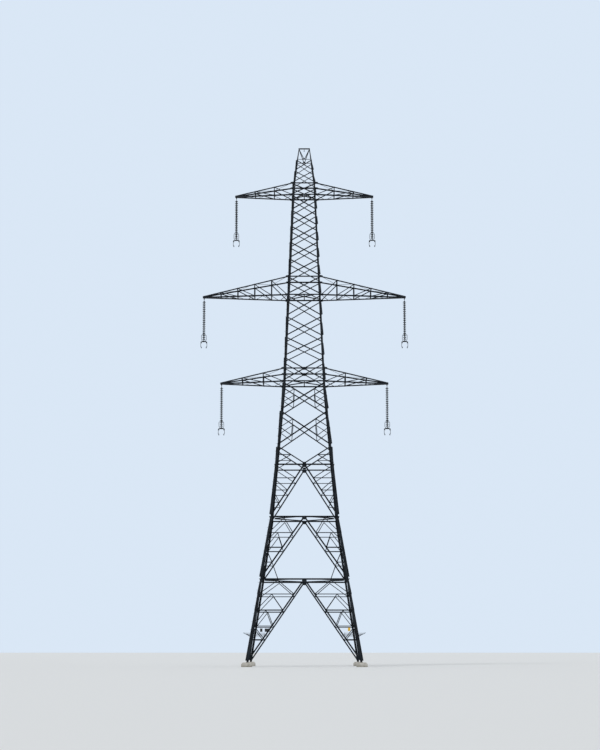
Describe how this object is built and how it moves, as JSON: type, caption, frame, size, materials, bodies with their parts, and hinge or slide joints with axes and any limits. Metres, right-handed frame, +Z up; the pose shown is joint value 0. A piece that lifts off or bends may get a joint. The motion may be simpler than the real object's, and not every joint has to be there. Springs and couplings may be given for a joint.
{
  "type": "lattice transmission pylon, 1:2 scale model",
  "caption": "Steel lattice tower for a double circuit power line, with three pairs of cross arms, a peak, and hinged suspension insulator sets, on four concrete footings; a half-size scale model.",
  "frame": {"origin": "centre of the base at ground level, midway between the four footings", "axes": "+X across the line along the cross arms, +Y along the line, +Z up"},
  "size_m": [10.4924, 6.02, 26.3],
  "materials": {
    "steel": "dark weathered galvanised angle steel",
    "concrete": "weathered concrete",
    "insulator": "dark toughened glass discs with metal caps",
    "fittings": "dull forged fittings",
    "plate": "bare painted plate"
  },
  "bodies": {
    "tower": {"footings": "concrete", "leg_front_left": "steel", "leg_front_right": "steel", "leg_back_right": "steel", "leg_back_left": "steel", "base_panel_front": "steel", "base_panel_right": "steel", "base_panel_back": "steel", "base_panel_left": "steel", "bend_panels_front": "steel", "bend_panels_right": "steel", "bend_panels_back": "steel", "bend_panels_left": "steel", "waist_panels_front": "steel", "waist_panels_right": "steel", "waist_panels_back": "steel", "waist_panels_left": "steel", "cage_side_front": "steel", "cage_side_right": "steel", "cage_side_back": "steel", "cage_side_left": "steel", "base_diaphragms": "steel", "arm_level_frames": "steel", "peak_frame": "steel", "ridge_bar": "steel", "arm_bottom_left": "steel", "arm_bottom_right": "steel", "arm_middle_left": "steel", "arm_middle_right": "steel", "arm_top_left": "steel", "arm_top_right": "steel", "climbing_guards": "steel", "plates": "plate"},
    "set_bottom_left": {"string_bottom_left": "insulator", "yoke_bottom_left": "fittings"},
    "set_bottom_right": {"string_bottom_right": "insulator", "yoke_bottom_right": "fittings"},
    "set_middle_left": {"string_middle_left": "insulator", "yoke_middle_left": "fittings"},
    "set_middle_right": {"string_middle_right": "insulator", "yoke_middle_right": "fittings"},
    "set_top_left": {"string_top_left": "insulator", "yoke_top_left": "fittings"},
    "set_top_right": {"string_top_right": "insulator", "yoke_top_right": "fittings"}
  },
  "joints": [
    {"name": "swing_bottom_left", "type": "hinge", "parent": "tower", "child": "set_bottom_left", "pos_m": [-4.165, 0, 13.978], "axis": [0, 1, 0], "range_deg": [-40, 40]},
    {"name": "swing_bottom_right", "type": "hinge", "parent": "tower", "child": "set_bottom_right", "pos_m": [4.165, 0, 13.978], "axis": [0, 1, 0], "range_deg": [-40, 40]},
    {"name": "swing_middle_left", "type": "hinge", "parent": "tower", "child": "set_middle_left", "pos_m": [-5.08, 0, 18.408], "axis": [0, 1, 0], "range_deg": [-40, 40]},
    {"name": "swing_middle_right", "type": "hinge", "parent": "tower", "child": "set_middle_right", "pos_m": [5.08, 0, 18.408], "axis": [0, 1, 0], "range_deg": [-40, 40]},
    {"name": "swing_top_left", "type": "hinge", "parent": "tower", "child": "set_top_left", "pos_m": [-3.465, 0, 23.648], "axis": [0, 1, 0], "range_deg": [-40, 40]},
    {"name": "swing_top_right", "type": "hinge", "parent": "tower", "child": "set_top_right", "pos_m": [3.465, 0, 23.648], "axis": [0, 1, 0], "range_deg": [-40, 40]}
  ]
}
